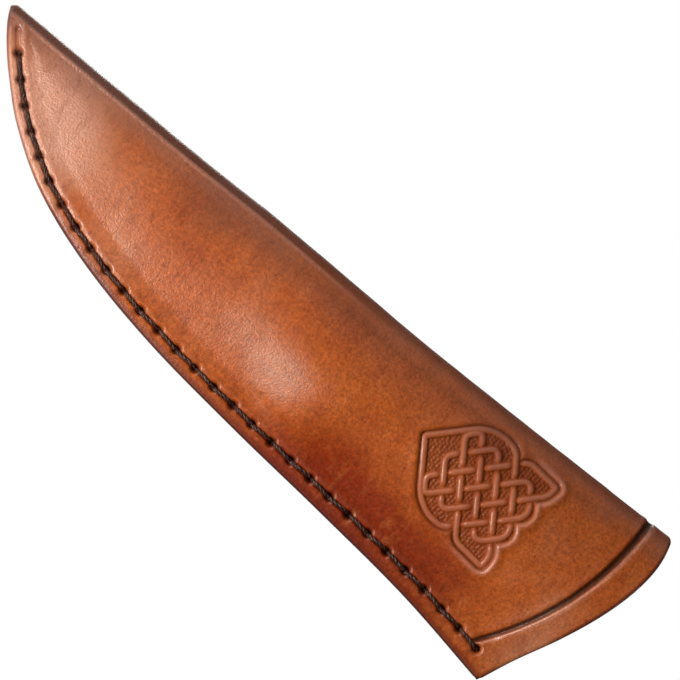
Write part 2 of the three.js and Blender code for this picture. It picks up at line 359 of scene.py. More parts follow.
def plait_local(u, s):
    """Points of the sheath about the plait's middle crossing, turned as the stamp was."""
    du, ds = u - PLAIT_AT[0], s - PLAIT_AT[1]
    cos, sin = math.cos(PLAIT_TURN), math.sin(PLAIT_TURN)
    return np.stack([du * cos + ds * sin, -du * sin + ds * cos], axis=-1)


def pebbles(points):
    """Small round bumps set on an uneven grid: 1 on their tops and 0 between them."""
    places = random.Random(7)
    rows = [
        ((i + 0.5 * (j % 2) + places.uniform(-0.2, 0.2)) * PEBBLE, (j + places.uniform(-0.2, 0.2)) * PEBBLE)
        for j in range(-28, 22)
        for i in range(-19, 19)
    ]
    best = np.full(len(points), 9.0)
    for middle in rows:
        best = np.minimum(best, np.hypot(*(points - middle).T))
    return np.clip(1 - (best / PEBBLE / 0.55) ** 2, 0, 1)


def plait_relief(u, s):
    """The stamped plait at points of the front: its height, how dark it is, how much paler it is painted (a
    painted highlight on its strand tops and on the puffed rim above its top), and where.
    """
    strand, outline = plait_lines()
    strand = resampled(strand, 0.3)
    levels = strand_levels(strand)
    points = plait_local(u, s)
    rise, dark, wear_and_highlight, pressed = np.zeros((4, len(points)))
    out, _ = distance_to_line(points, outline)
    inside = inside_line(points, outline)
    out = np.where(inside, -out, out) - STRAND
    near = out < PLAIT_REACH
    p = points[near]
    away = out[near]
    ground = PLAIT_GROUND + 0.2 * pebbles(p)
    best = np.full(len(p), -9.0)
    for k in range(len(strand) - 1):
        gap = np.hypot(*(p - (strand[k] + strand[k + 1]) / 2).T)
        hit = gap < STRAND
        crown = STRAND_CROWN * (1 - np.sqrt(1 - (gap[hit] / STRAND) ** 2))
        best[hit] = np.maximum(best[hit], STRAND_CREST + levels[k] - crown)
    within = smooth(-away, -0.12, 0.12)
    worked = np.maximum(best, ground)
    top_side = smooth(p[:, 1], -4, 6)
    puff = (0.14 + 0.26 * top_side) * bump(away - 1.0, 0.95) - 0.3 * bump(away - 0.05, 0.3)
    rise[near] = within * worked + (1 - within) * puff
    depth = smooth(-worked, 0.28, 0.66)
    dark[near] = np.maximum(within * (0.06 + 0.3 * depth), 0.5 * bump(away, 0.28))
    on_top = smooth(worked, STRAND_CREST - 0.26, STRAND_CREST)
    # Painted highlight: paler on the strand tops and on the puffed rim above the plait's top
    wear_and_highlight[near] = np.maximum(within * (0.02 + 0.29 * on_top), 0.45 * top_side * bump(away - 0.75, 0.5))
    pressed[near] = smooth(-away, -1.5, 0.2)
    return rise, dark, wear_and_highlight, pressed


# ---- leather surface

CHANNEL = 0.52  # half width of the stitching channel
CHANNEL_DEEP = 0.45
PIT = 0.92  # radius of a stitch hole's pit
PIT_DEEP = 1.5
GROOVE = 0.56
GROOVE_DEEP = 0.72
GROOVE_SHIFT = 0.4  # towards the mouth from the CAD model's groove
SPINE_BAND = 2.0  # width of the burnished band along the folded spine
RIDGE_FADES = (50, 105)  # the ridge beside that band is crisp near the point only

# Where the leather is painted darker (+) or paler (-): u, s, half width, half height, strength. The paler
# patches at the point (14, 18) and before the handle (26, 88) are painted highlights where the key light
# falls; the others are the finish going on darker or paler.
PATCHES = [
    (12, 56, 11, 8, 0.6), (35, 115, 9, 32, 1.15), (8, 133, 6, 18, 0.4), (15, 71, 7, 4, 0.25),
    (26, 88, 9, 11, -0.45), (14, 18, 14, 18, -1.05), (24, 117, 6, 14, 0.15), (28, 148, 9, 5, -0.2),
    (24, 50, 7, 12, -0.3), (36, 162, 12, 6, -0.62), (9, 91, 8, 11, 0.35), (17, 136, 7, 9, 0.2),
]
BACK_PATCHES = [
    (36, 118, 9, 42, 0.8), (6, 105, 6, 60, 0.35), (20, 62, 11, 9, 0.55), (15, 18, 12, 18, -0.5),
    (18, 109, 9, 20, 0.3), (24, 160, 16, 7, -0.35),
]


def tone(u, s, patches):
    """How dark the leather is painted at points of one face, from -1 to 1; its paler patches include painted
    highlights.
    """
    total = np.zeros(len(u))
    for at_u, at_s, wide, high, strength in patches:
        total += strength * bump(np.hypot((u - at_u) / wide, (s - at_s) / high), 1, 2)
    return total


# Unevenness of wet-moulded leather: size across and up, place in the noise, height
WAVES = [(17, 21, (9, 0), 0.16), (5.5, 7, (4, 2), 0.05), (2.3, 2.9, (6, 5), 0.028)]


def waviness(u, s, side):
    total = np.zeros(len(u))
    for wide, high, (per_side, start), height in WAVES:
        places = zip(u / wide, s / high, np.full(len(u), side * float(per_side) + start))
        total += height * np.array([noise.noise(Vector(place)) for place in places])
    return total


def under_strap(u, s):
    """1 where a sewn end of the belt loop presses the back flat, 0 away from it."""
    middles = SLOT_TOP - SLOT_HEIGHT - STRAP_END / 2, SLOT_TOP + STRAP_END / 2
    from_middle = np.min([np.abs(s - middle) for middle in middles], axis=0)
    outside = np.maximum(np.abs(u - STRAP_CENTRE) - STRAP_WIDTH / 2, from_middle - STRAP_END / 2)
    return 1 - smooth(outside, 0, 1.5)


def outer_relief(u, s, side):
    """Height over the plain sheet, and the marks that the finish follows, at points of one face."""
    points = np.stack([u, s], axis=-1)
    to_seam, _ = distance_to_line(points, channel_line)
    from_holes = points[:, None, :] - seam_holes
    from_hole = from_holes[np.arange(len(u)), (from_holes**2).sum(2).argmin(1)]
    to_hole = np.hypot(*from_hole.T)
    awl = seam_points(AWL_MARK_AT)
    to_awl = np.hypot(*(points - awl).T)
    ring = np.hypot(u - GROOVE_CENTRE[0], s - GROOVE_CENTRE[1]) - GROOVE_RADIUS - GROOVE_SHIFT
    last = seam_holes[-1]
    on_groove = smooth(last[0] - 0.4 - u, 0, 0.8) * (s > last[1] - 5)
    shallow = 0.25 + 0.75 * smooth(u - spine(s), 0, 1.6)  # where it runs out over the fold
    channel = bump(to_seam, CHANNEL, 4)
    pit = bump(to_hole, PIT, 3)
    wide = GROOVE * (1.35 - 0.5 * np.clip(u / last[0], 0, 1))
    groove = bump(ring, wide, 4) * on_groove
    rise = waviness(u, s, side) * smooth(to_seam, 0.5, 5)
    sewn = 0.4 + 0.6 * smooth(s, seam_holes[0][1] - 1.5, seam_holes[0][1] - 0.3)
    rise -= CHANNEL_DEEP * channel * (1 - pit) * sewn + PIT_DEEP * pit
    rise += 0.13 * bump(to_seam - 1.35, 0.6) * (1 - 0.6 * bump(to_hole, 2.4))
    lip = bump(to_hole - 1.1, 0.3) * smooth(from_hole[:, 1], 0.3, 1.0)  # pushed up by the thread
    rise += 0.12 * lip
    rise -= 0.3 * bump(to_awl, 0.5)
    rise -= GROOVE_DEEP * groove * shallow
    rise += 0.1 * bump(np.abs(ring) - 1.3, 0.6) * on_groove
    from_spine = u - spine(s)
    crisp = 1 - smooth(s, *RIDGE_FADES)
    rise -= (0.05 + 0.2 * crisp) * (1 - smooth(from_spine, SPINE_BAND - 0.9, SPINE_BAND))
    rise += 0.2 * crisp * bump(from_spine - SPINE_BAND - 0.25, 0.4)
    dark = np.maximum(0.92 * groove, bump(to_hole, PIT * 0.85, 5))
    near_point = 1 - smooth(s, 22, 60)
    dark = np.maximum(dark, (0.42 - 0.22 * near_point) * bump(to_seam, CHANNEL * 0.95, 4) * (sewn > 0.9))
    band = (1 - smooth(from_spine, SPINE_BAND - 0.3, SPINE_BAND + 0.2)) * (0.3 + 0.7 * crisp)
    # The finish is a little rubbed off below the handle and beside the spine
    rubbed_thin = smooth(s, 20, 38) * (1 - smooth(s, 70, 90))
    rubbed_thin = np.maximum(rubbed_thin, bump(from_spine - 7, 5) * (1 - smooth(s, 120, 150)))
    # Painted highlights on the ridge beside the spine band, the ridges beside the stitching near the point,
    # the rim above the mouth groove, the lips of the stitch holes and the channel before the first hole; a
    # painted sheen beside the spine near the point; and the finish rubbed thin (rubbed_thin)
    wear_and_highlight = np.max([
        crisp * bump(from_spine - SPINE_BAND - 0.4, 0.4),
        (0.06 + 0.74 * near_point) * bump(to_seam - 1.3, 0.6) * (1 - dark),
        0.8 * bump(ring - wide - 0.25, 0.3) * on_groove,
        0.6 * lip,
        0.7 * channel * (1 - pit) * (1 - sewn),
        0.2 * crisp * bump(from_spine - 3.6, 2.2, 4),
        0.09 * rubbed_thin * smooth(to_seam, 0.5, 2.5) * (1 - dark),
    ], axis=0)
    # The shade beside the spine reaches further towards the point
    shade_reach = 1 + 0.35 * (1 - smooth(s, 80, 110)) + 0.3 * bump(s - 58, 10)
    marks = {"spine": from_spine / shade_reach, "band": band, "pressed": channel}
    marks["tone"] = tone(u, s, PATCHES if side > 0 else BACK_PATCHES)
    if side > 0:
        plait, plait_dark, plait_highlight, pressed = plait_relief(u, s)
        rise += plait
        dark = np.maximum(dark, plait_dark)
        wear_and_highlight = np.maximum(wear_and_highlight, plait_highlight)
        marks["pressed"] = np.maximum(channel, pressed)
    else:
        rise -= np.maximum(rise, 0) * under_strap(u, s)
    marks["recess"] = dark
    marks["wear_and_highlight"] = wear_and_highlight
    return rise, marks


def rolled(distance, radius):
    """How far a rounded edge has dropped at a distance in from it."""
    x = np.clip(1 - distance / radius, 0, 1)
    return radius * (1 - np.sqrt(1 - x**2))


# ---- mesh tools

SAME_PLACE = 1e-8  # metres; only points in one place are joined, as at the very tip


def mesh_piece(name, points, faces, layers=None):
    """A smooth-shaded mesh object from points in the row frame, with named values at its points."""
    mesh = bpy.data.meshes.new(name)
    mesh.from_pydata(np.asarray(points).tolist(), [], [list(map(int, face)) for face in faces])
    for layer, values in (layers or {}).items():
        attribute = mesh.attributes.new(layer, "FLOAT", "POINT")
        attribute.data.foreach_set("value", np.asarray(values, np.float32))
    bm = bmesh.new()
    bm.from_mesh(mesh)
    bmesh.ops.remove_doubles(bm, verts=bm.verts, dist=SAME_PLACE)
    bmesh.ops.recalc_face_normals(bm, faces=bm.faces)
    if bm.calc_volume(signed=True) < 0:
        bmesh.ops.reverse_faces(bm, faces=bm.faces)
    bm.to_mesh(mesh)
    bm.free()
    mesh.polygons.foreach_set("use_smooth", np.ones(len(mesh.polygons), bool))
    piece = bpy.data.objects.new(name, mesh)
    bpy.context.scene.collection.objects.link(piece)
    return piece


def placed(piece, node, material):
    """A finished piece in place of a CAD node: given its material, hung under the root body, with the CAD
    node hidden.
    """
    piece.data.materials.clear()
    piece.data.materials.append(material)
    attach(piece, "root")
    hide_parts(node)
    return piece


def zipped(first, first_at, second, second_at):
    """Triangles between two rows of point numbers, walked together by their places."""
    faces = []
    i = j = 0
    while i < len(first) - 1 or j < len(second) - 1:
        on_first = j == len(second) - 1 or (
            i < len(first) - 1 and first_at[i + 1] <= second_at[j + 1] + 1e-9
        )
        if on_first:
            faces.append((first[i], first[i + 1], second[j]))
            i += 1
        else:
            faces.append((first[i], second[j + 1], second[j]))
            j += 1
    return faces


def grid_faces(rows, columns, offset=0, wrap=False):
    """Quads over a grid of points stored row by row."""
    faces = []
    for r in range(rows - 1):
        for c in range(columns if wrap else columns - 1):
            a = offset + r * columns + c
            b = offset + r * columns + (c + 1) % columns
            faces.append((a, b, b + columns, a + columns))
    return faces


def tube_faces(rows, columns, offset=0):
    """Quads over a row of closed rings, with both its ends capped."""
    caps = [offset, offset + (rows - 1) * columns]
    return grid_faces(rows, columns, offset, wrap=True) + [tuple(range(k, k + columns)) for k in caps]


# ---- sheath body

LENGTH = 171.5
MOUTH_EDGE_THIN = 2.0  # how much narrower the dark of the mouth's edge is than the seam edge's
EDGE_STEPS = [0, 0.06, 0.14, 0.26, 0.42, 0.62, 0.88, 1.2, 1.6]
NOSE_STEPS = [0, 0.03, 0.08, 0.16, 0.28, 0.44, 0.64, 0.88, 1.2, 1.6, 2.1, 2.7, 3.4]


def body_rows():
    heights = [*NOSE_STEPS, *np.arange(4.2, 116, 0.85), *np.arange(116, 150, 0.66)]
    heights += [*np.arange(150, 169.4, 0.85), *(LENGTH - np.array(EDGE_STEPS)[::-1])]
    return np.array(heights) / LENGTH


def body_columns():
    across = 47.5
    edge = 1 - np.array(EDGE_STEPS)[::-1] / across
    front = np.concatenate([np.arange(0, edge[0] - 0.01, 0.7 / across), edge])
    back = np.concatenate([np.arange(0, edge[0] - 0.01, 1.3 / across), edge])
    return np.concatenate([-back[:0:-1], front])


def height_at(c, t):
    return t * mouth_height(c)


def refine(bm, wanted):
    """Splits the faces of the flat mesh (c, t) whose middle on the sheath is wanted."""
    middles = np.array([face.calc_center_median()[:2] for face in bm.faces])
    c, t = middles.T
    s = height_at(c, t)
    u, _, _ = section(c, s, 0)
    chosen = wanted(u, s, c)
    bm.faces.ensure_lookup_table()
    edges = {edge for k in np.nonzero(chosen)[0] for edge in bm.faces[k].edges}
    bmesh.ops.subdivide_edges(bm, edges=list(edges), cuts=1, use_grid_fill=True)


def near_plait(u, s, c, reach):
    points = plait_local(u, s)
    _, outline = plait_lines()
    out, _ = distance_to_line(points, outline)
    return (c > 0) & (inside_line(points, outline) | (out < reach))


def near_channel(u, s, width):
    to_seam, _ = distance_to_line(np.stack([u, s], axis=-1), channel_line)
    return to_seam < width


def near_groove(u, s):
    ring = np.hypot(u - GROOVE_CENTRE[0], s - GROOVE_CENTRE[1]) - GROOVE_RADIUS
    last = seam_holes[-1]
    return (np.abs(ring) < 1.4) & (u < last[0] + 1) & (s > last[1] - 5)


def tooled(u, s, c):
    """Where the body's mesh is split once."""
    ridge = (c > 0) & (np.abs(u - SPINE_BAND) < 1.3) & (s < RIDGE_FADES[1])
    return near_plait(u, s, c, 2.4) | near_channel(u, s, 2.1) | near_groove(u, s) | ridge


def finely_tooled(u, s, c):
    """Where it is split again."""
    channel = near_channel(u, s, np.where(c > 0, 1.5, 1.1))
    return near_plait(u, s, c, 0.9) | channel | (c > 0) & near_groove(u, s)


def flat_body():
    """The outside of the sheath laid out flat as (c, t), finer where there is tooling."""
    columns, rows = body_columns(), body_rows()
    bm = bmesh.new()
    points = [[bm.verts.new((c, t, 0)) for c in columns] for t in rows]
    for low, high in zip(points[:-1], points[1:]):
        for k in range(len(columns) - 1):
            bm.faces.new((low[k], low[k + 1], high[k + 1], high[k]))
    refine(bm, tooled)
    refine(bm, finely_tooled)
    return bm


# What the colour follows at each point: dark finish left in hollows, paler paint where the finish is rubbed
# thin and for painted highlights, distance from the spine, its burnished band, how dark it is painted (its
# paler patches at the point and before the handle are painted highlights), and grain pressed flat.
# make_body adds "edge", the distance from a cut edge, and "inner", the flesh side.
LAYERS = ("recess", "wear_and_highlight", "spine", "band", "tone", "pressed")


def make_body():
    bm = flat_body()
    flat = np.array([vert.co[:2] for vert in bm.verts])
    bm.verts.ensure_lookup_table()
    bm.verts.index_update()
    faces = [[vert.index for vert in face.verts] for face in bm.faces]
    bm.free()
    c, t = flat.T
    top = mouth_height(c)
    s = t * top
    u, _, from_belly = section(c, s, np.zeros_like(s))
    slope = (belly(s + 0.5) - belly(s - 0.5)) / 1.0
    from_belly = from_belly / np.hypot(slope, 1)
    from_mouth = (top - s) * MOUTH_SLANT
    rise = np.zeros(len(c))
    marks = {name: np.zeros(len(c)) for name in LAYERS}
    for side in (-1, 1):
        here = np.sign(c + 1e-9) == side
        rise[here], found = outer_relief(u[here], s[here], side)
        for layer, values in found.items():
            marks[layer][here] = values
    rise -= np.maximum(rolled(from_belly, EDGE_ROLL), rolled(from_mouth, MOUTH_ROLL))
    rise = np.maximum(rise, -POINT_DEEPEST * (belly_edge(s) - spine_edge(s)))
    u, d, _ = section(c, s, rise)
    points = to_row(u, s, d)
    marks["edge"] = np.minimum(from_belly, from_mouth * MOUTH_EDGE_THIN)
    marks["inner"] = np.zeros(len(c))

    inner_c = np.unique(np.concatenate([body_columns()[::2], [-1, 1]]))
    inner_t = np.unique(np.concatenate([body_rows()[::2], [0, 1]]))
    ci, ti = (grid.ravel() for grid in np.meshgrid(inner_c, inner_t))
    si = ti * mouth_height(ci)
    inner_mouth = (mouth_height(ci) - si) * MOUTH_SLANT
    ui, di, _ = section(ci, si, -PANEL + rolled(inner_mouth, INNER_ROLL))
    offset = len(points)
    inner = np.arange(len(ci)).reshape(len(inner_t), len(inner_c)) + offset
    faces += grid_faces(len(inner_t), len(inner_c), offset)
    walls = [
        (np.nonzero(c == 1)[0], t, inner[:, -1], inner_t),
        (np.nonzero(c == -1)[0], t, inner[:, 0], inner_t),
        (np.nonzero(t == 1)[0], c, inner[-1], inner_c),
    ]
    for outer, key, row, row_at in walls:
        outer = outer[np.argsort(key[outer])]
        faces += zipped(outer, key[outer], row, row_at)
    points = np.concatenate([points, to_row(ui, si, di)])
    zero = np.zeros(len(ci))
    inside = {name: zero for name in LAYERS}
    flesh = ((np.abs(ci) < 1) & (ti < 1)).astype(float)
    inside.update(spine=zero + 50, edge=zero, inner=flesh)
    layers = {name: np.concatenate([marks[name], values]) for name, values in inside.items()}
    return mesh_piece("sheath_leather", points, faces, layers)


# ---- thread

THREAD_STEP = 0.36
PLIES = 3
PLY_SIDES = 6
PLY_RADIUS = 0.62  # as a share of the thread's
PLY_OUT = 0.44  # and how far each ply lies from its middle
PLY_PITCH = 3.4  # length of one full twist


def stitch_run(start, end, face, out, dip, slant):
    """One visible stitch between two holes, on a face at depth face; out is +1 if the front's."""
    along = (end - start) / np.hypot(*(end - start))
    across = np.array([-along[1], along[0]])
    points = []
    for f in np.linspace(0, 1, 15):
        place = start + (end - start) * f + across * slant * math.cos(math.pi * f)
        sunk = dip * (1 - math.sin(math.pi * f) ** 0.35)
        points.append((*place, face - out * sunk))
    return points


def saddle_stitches(holes, front, back, dip, slant):
    """A thread's whole way along a row of holes and back: both its halves pass every hole."""
    halves = []
    for first_side in (1, -1):
        half = []
        side = first_side
        for start, end in zip(holes[:-1], holes[1:]):
            shift = (end - start) / np.hypot(*(end - start)) * 0.3 * first_side
            face = front if side > 0 else back
            half += stitch_run(start + shift, end + shift, face, side, dip, slant * first_side)
            side = -side
        halves.append(half)
    return np.array(halves[0][::-1] + halves[1])


def smoothed(line, times):
    for _ in range(times):
        line[1:-1] = (line[:-2] + 2 * line[1:-1] + line[2:]) / 4
    return line


def spaced_3d(line, step):
    lengths = np.sqrt((np.diff(line, axis=0) ** 2).sum(1))
    at = np.concatenate([[0], np.cumsum(lengths)])
    wanted = np.linspace(0, at[-1], int(at[-1] / step) + 1)
    return np.stack([np.interp(wanted, at, line[:, k]) for k in range(3)], axis=-1)


def twisted_thread(name, line, radius):
    """A laid thread of several plies along a line of (u, s, d) points."""
    line = smoothed(spaced_3d(line, THREAD_STEP), 2)
    along = np.gradient(line, axis=0)
    along /= np.linalg.norm(along, axis=1, keepdims=True)
    side = np.cross(along[0], [0.3, 0.2, 0.9])
    sides = []
    for direction in along:
        side = side - direction * side.dot(direction)
        side /= np.linalg.norm(side)
        sides.append(side.copy())
    sides = np.array(sides)
    ups = np.cross(along, sides)
    turn = np.arange(len(line)) * THREAD_STEP / PLY_PITCH * 2 * np.pi
    ply_radius = radius * PLY_RADIUS
    points, faces = [], []
    for ply in range(PLIES):
        angle = (turn + ply * 2 * np.pi / PLIES)[:, None]
        middle = line + (sides * np.cos(angle) + ups * np.sin(angle)) * radius * PLY_OUT
        offset = len(points)
        for k in range(len(line)):
            for around in np.linspace(0, 2 * np.pi, PLY_SIDES, endpoint=False):
                points.append(middle[k] + (sides[k] * np.cos(around) + ups[k] * np.sin(around)) * ply_radius)
        faces += tube_faces(len(line), PLY_SIDES, offset)
    u, s, d = np.array(points).T
    return mesh_piece(name, to_row(u, s, d), faces)


def make_seam_thread():
    line = saddle_stitches(seam_holes, 2 * RADIUS - 0.08, 0.08, 1.35, 0.2)
    return twisted_thread("seam_stitching", line, THREAD_RADIUS)


# ---- welt

WELT_FROM = 1.3
WELT_PLAY = 0.03  # between it and each flap
WELT_CLEAR = 3.5  # the welt's narrow end stays this far from the spine line


def welt_point(inset, share):
    """Where the welt is, a share of its length up, and inset from the belly edge."""
    end = 158.0
    for _ in range(20):
        u, s = beside_belly(end, inset)
        end += mouth(u) - s
    return beside_belly(WELT_FROM + (end - WELT_FROM) * share, inset)


def make_welt():
    low, high = PANEL + WELT_PLAY, 2 * RADIUS - PANEL - WELT_PLAY
    ring = [
        (WELT_WIDTH, low), (3, low), (0.3, low), (0.12, low + 0.1), (0.04, low + 0.35),
        (0, RADIUS), (0.04, high - 0.35), (0.12, high - 0.1), (0.3, high), (3, high),
        (WELT_WIDTH, high),
    ]
    shares = np.concatenate([np.linspace(0, 0.2, 40), np.linspace(0.21, 0.995, 150), [0.998, 1]])
    points = []
    for share in shares:
        pinch = 0.25 * max(0, (share - 0.995) / 0.005)
        for inset, depth in ring:
            u, s = welt_point(inset, share)
            points.append((max(u, WELT_CLEAR), s, depth + pinch * np.sign(RADIUS - depth)))
    u, s, d = np.array(points).T
    return mesh_piece("welt_strip", to_row(u, s, d), tube_faces(len(shares), len(ring)))


# ---- belt loop

STRAP_ROLL = 0.75
STRAP_CORNER = 3.2
STRAP_BEND = 3.3  # radius of its bends, along its middle
STRAP_SLOPE = math.radians(56)
BEND_EARLY = 1  # how far before the slot the strap starts to rise
STRAP_CLEAR = 0.03
STRAP_STEP = 0.32
CREASE_IN = 1.5
strap_bottom = SLOT_TOP - SLOT_HEIGHT - STRAP_END
strap_top = SLOT_TOP + STRAP_END


def loop_holes(bottom):
    """The stitch holes of one end of the strap, in order round their rectangle."""
    width = STRAP_WIDTH - 2 * STRAP_MARGIN
    height = STRAP_END - 2 * STRAP_MARGIN
    left = STRAP_CENTRE - width / 2
    corners = np.array([[0, 0], [width, 0], [width, height], [0, height], [0, 0]], float)
    holes = []
    for start, end in zip(corners[:-1], corners[1:]):
        count = round(np.hypot(*(end - start)) / LOOP_PITCH)
        holes += [start + (end - start) * k / count for k in range(count)]
    return np.array(holes + holes[:1]) + [left, bottom]


lower_holes = loop_holes(strap_bottom + STRAP_MARGIN)
upper_holes = loop_holes(SLOT_TOP + STRAP_MARGIN)


def strap_path(at):
    """The strap's middle line at distances along it: (s, distance off the back, its slant)."""
    turn = STRAP_BEND * STRAP_SLOPE
    rise = SLOT_DEPTH - STRAP_CLEAR
    straight = (rise - 2 * STRAP_BEND * (1 - math.cos(STRAP_SLOPE))) / math.sin(STRAP_SLOPE)
    run = 2 * STRAP_BEND * math.sin(STRAP_SLOPE) + straight * math.cos(STRAP_SLOPE)
    flat = STRAP_END - BEND_EARLY
    middle = SLOT_HEIGHT + 2 * BEND_EARLY - 2 * run
    lengths = [flat, turn, straight, turn, middle, turn, straight, turn, flat]
    slants = np.array([0, 0, 1, 1, 0, 0, -1, -1, 0, 0]) * STRAP_SLOPE
    knots = np.cumsum([0, *lengths])
    fine = np.linspace(0, knots[-1], 6000)
    slant = np.interp(fine, knots, slants)
    s = strap_bottom + np.cumsum(np.cos(slant)) * fine[1]
    off = STRAP_CLEAR + STRAP_THICKNESS / 2 + np.cumsum(np.sin(slant)) * fine[1]
    share = at * knots[-1]
    return [np.interp(share, fine, values) for values in (s, off, slant)]


def strap_relief(u, s):
    """Height and marks on the strap's outer face."""
    points = np.stack([u, s], axis=-1)
    rise, dark = np.zeros((2, len(u)))
    for holes in (lower_holes, upper_holes):
        to_row_of_holes, _ = distance_to_line(points, holes)
        to_hole = np.min([np.hypot(*(points - hole).T) for hole in holes], axis=0)
        groove = bump(to_row_of_holes, 0.55, 4)
        pit = bump(to_hole, 0.8, 3)
        rise -= 0.35 * groove * (1 - pit) + 1.0 * pit
        dark = np.maximum(dark, np.maximum(0.6 * groove, pit))
    half = STRAP_WIDTH / 2
    crease = bump(half - CREASE_IN - np.abs(u - STRAP_CENTRE), 0.3)
    rise += -0.2 * crease + waviness(u, s, 3) * 0.6
    return rise, np.maximum(dark, 0.7 * crease)


def make_belt_loop():
    half, roll, depth = STRAP_WIDTH / 2, STRAP_ROLL, STRAP_THICKNESS
    quarter = np.linspace(0, np.pi / 2, 5)
    corner = [(half - roll + roll * math.sin(a), depth - roll + roll * math.cos(a)) for a in quarter]
    lower = [(half - 0.5 + 0.5 * math.cos(a), 0.5 - 0.5 * math.sin(a)) for a in quarter]
    outside = [(a, depth) for a in np.linspace(-half + roll, half - roll, 78)[1:-1]]
    right = corner + lower
    left = [(-a, b) for a, b in reversed(right)]
    inside = [(a, 0) for a in np.linspace(half - 0.5, -half + 0.5, 12)[1:-1]]
    ring = np.array(outside + right + inside + left)
    across, thick = ring.T
    height = strap_top - strap_bottom
    ends = np.array([0, 0.05, 0.15, 0.3, 0.5, 0.8, 1.2, 1.7, 2.3, 3.0]) / height
    rows = np.concatenate([ends, np.arange(ends[-1], 1 - ends[-1], STRAP_STEP / height)[1:], 1 - ends[::-1]])
    all_points, darks, edges = [], [], []
    for row_s, off, slant in zip(*strap_path(rows)):
        from_end = max(min(row_s - strap_bottom, strap_top - row_s), 0)
        short = max(1 - from_end / STRAP_CORNER, 0)
        narrow = 1 - STRAP_CORNER * (1 - math.sqrt(1 - short**2)) / half
        thin = rolled(np.array(from_end), roll) / depth
        u = STRAP_CENTRE + across * narrow
        rise, dark = strap_relief(u, np.full(len(u), row_s))
        on_face = smooth(thick, depth - 0.3, depth)
        t = (thick - depth / 2) * (1 - 0.8 * thin) + rise * on_face
        s = row_s - t * math.sin(slant)
        all_points.append(np.stack([u, s, -(off + t * math.cos(slant))], axis=-1))
        darks.append(dark * on_face)
        edges.append(np.minimum(half * narrow - np.abs(across * narrow), from_end) * on_face)
    points = np.concatenate(all_points)
    u, s, d = points.T
    layers = {
        "recess": np.concatenate(darks),
        "edge": np.concatenate(edges),
        "spine": np.full(len(points), 50.0),
        "inner": (np.tile(thick, len(rows)) < 0.01).astype(float),
    }
    return mesh_piece("belt_loop_strap", to_row(u, s, d), tube_faces(len(rows), len(ring)), layers)


def make_loop_thread(name, holes):
    outside = -STRAP_THICKNESS - 0.2
    line = saddle_stitches(holes, PANEL + 0.4, outside, 1.0, 0.12)
    return twisted_thread(name, line, LOOP_THREAD_RADIUS)


# ---- materials

class Nodes:
    """A short way to write a material's node tree."""

    def __init__(self, name):
        self.material = bpy.data.materials.new(name)
        self.material.use_nodes = True
        self.tree = self.material.node_tree
        self.shader = self.tree.nodes["Principled BSDF"]

    def link(self, value, socket):
        if isinstance(value, bpy.types.NodeSocket):
            self.tree.links.new(value, socket)
        else:
            socket.default_value = value

    def node(self, kind, inputs=None, **settings):
        made = self.tree.nodes.new(kind)
        for key, value in settings.items():
            setattr(made, key, value)
        for key, value in (inputs or {}).items():
            self.link(value, made.inputs[key])
        return made

    def place(self):
        return self.node("ShaderNodeTexCoord").outputs["Object"]

    def layer(self, name):
        return self.node("ShaderNodeAttribute", attribute_name=name).outputs["Fac"]

    def noise(self, size, detail=3, roughness=0.5, stretch=None):
        """Noise with features about size metres across."""
        vector = self.place()
        if stretch:
            vector = self.node("ShaderNodeMapping", {"Vector": vector, "Scale": stretch}).outputs[0]
        inputs = {"Vector": vector, "Scale": 1 / size, "Detail": detail, "Roughness": roughness}
        return self.node("ShaderNodeTexNoise", inputs).outputs["Fac"]

    def cells(self, size):
        inputs = {"Vector": self.place(), "Scale": 1 / size}
        return self.node("ShaderNodeTexVoronoi", inputs).outputs["Distance"]

    def math(self, operation, a, b):
        return self.node("ShaderNodeMath", {0: a, 1: b}, operation=operation).outputs[0]

    def plus(self, a, b):
        return self.math("ADD", a, b)

    def times(self, a, b):
        return self.math("MULTIPLY", a, b)

    def ramp(self, value, low, high, start=0.0, end=1.0):
        """Value from low to high turned into start to end, smoothly."""
        inputs = {"Value": value, "From Min": low, "From Max": high, "To Min": start, "To Max": end}
        made = self.node("ShaderNodeMapRange", inputs, interpolation_type="SMOOTHSTEP")
        return made.outputs["Result"]

    def mix(self, factor, a, b):
        return self.node("ShaderNodeMix", {0: factor, 6: a, 7: b}, data_type="RGBA").outputs[2]

    def shaded(self, color, value):
        """A colour made darker or lighter: multiplied by value."""
        inputs = {0: 1.0, 6: color, 7: value}
        return self.node("ShaderNodeMix", inputs, data_type="RGBA", blend_type="MULTIPLY").outputs[2]

    def bumps(self, height, distance, strength=1.0):
        inputs = {"Height": height, "Distance": distance, "Strength": strength}
        return self.node("ShaderNodeBump", inputs).outputs["Normal"]

    def finish(self, color, roughness, normal, **constants):
        self.link(color, self.shader.inputs["Base Color"])
        self.link(roughness, self.shader.inputs["Roughness"])
        self.link(normal, self.shader.inputs["Normal"])
        for key, value in constants.items():
            self.shader.inputs[key.replace("_", " ")].default_value = value
        return self.material


def rgb(red, green, blue):
    """A colour as seen on a screen, 0 to 255, as the linear colour that shaders use."""
    linear = [
        (c / 255 / 12.92) if c <= 10 else ((c / 255 + 0.055) / 1.055) ** 2.4 for c in (red, green, blue)
    ]
    return (*linear, 1.0)


TAN = rgb(166, 79, 27)
PALE_TAN = rgb(171, 103, 67)
PALE_POINT_AND_HIGHLIGHT = rgb(190, 132, 108)
RED_DYE = rgb(120, 34, 4)
DARK_MOTTLE = rgb(128, 50, 14)
LIGHT_MOTTLE = rgb(186, 106, 54)
RUBBED_AND_HIGHLIGHT = rgb(204, 134, 104)
SPOT = rgb(70, 26, 12)
NICK = rgb(92, 36, 16)
RED_EDGE = rgb(96, 34, 22)
WAXED_EDGE = rgb(48, 24, 22)
SPINE_SHADE = rgb(110, 66, 49)
BURNISHED_BAND = rgb(112, 60, 42)
ANTIQUE_DARK = rgb(24, 11, 8)
FLESH_SIDE = rgb(178, 130, 94)


